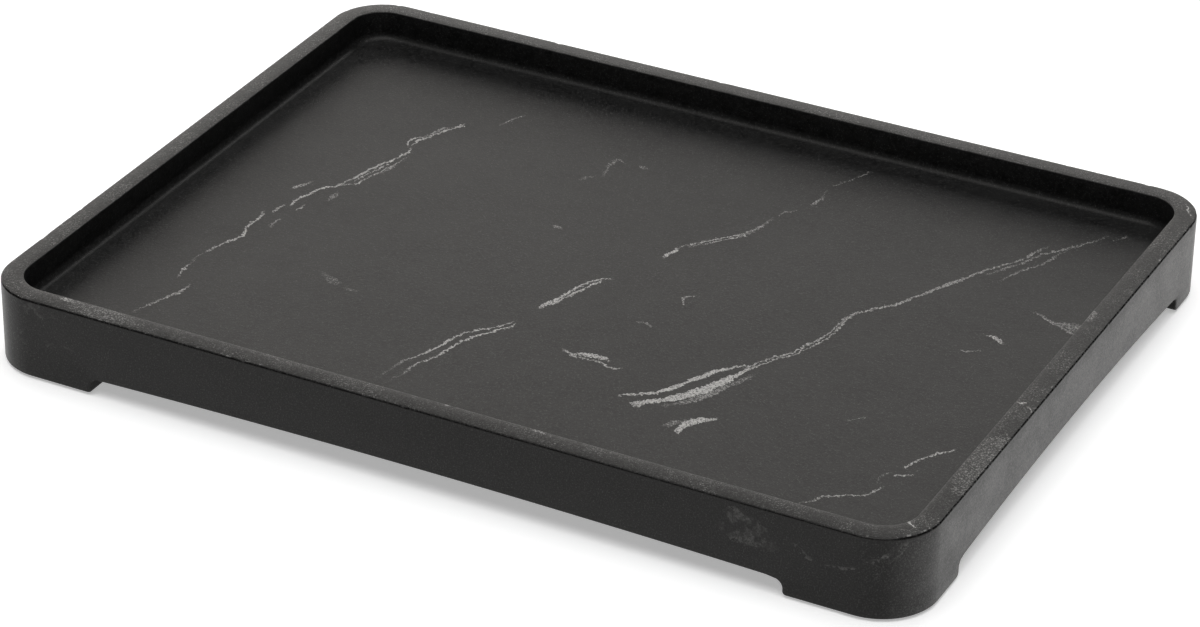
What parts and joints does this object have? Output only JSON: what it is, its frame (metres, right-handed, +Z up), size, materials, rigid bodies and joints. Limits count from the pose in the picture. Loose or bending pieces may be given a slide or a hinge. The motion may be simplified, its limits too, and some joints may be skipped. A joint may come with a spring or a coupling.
{
  "type": "serving tray",
  "caption": "Rectangular marble serving tray with rounded corners, a shallow pocket inside a narrow rim, and low corner feet carved from the same stone, standing on thin round pads.",
  "frame": {"origin": "under the middle of the tray, on the surface that the foot pads stand on", "axes": "+X along the tray's long side, +Y from its front long side to its back one, +Z up out of the pocket"},
  "size_m": [0.4, 0.3, 0.0358],
  "materials": {
    "stone": "honed black marble with light grey veins, soft matt sheen, rim edges slightly rough from cutting",
    "pad_rubber": "matt black soft rubber"
  },
  "bodies": {
    "root": {"tray_body": "stone", "foot_pad_front_left": "pad_rubber", "foot_pad_front_right": "pad_rubber", "foot_pad_back_left": "pad_rubber", "foot_pad_back_right": "pad_rubber"}
  },
  "joints": []
}
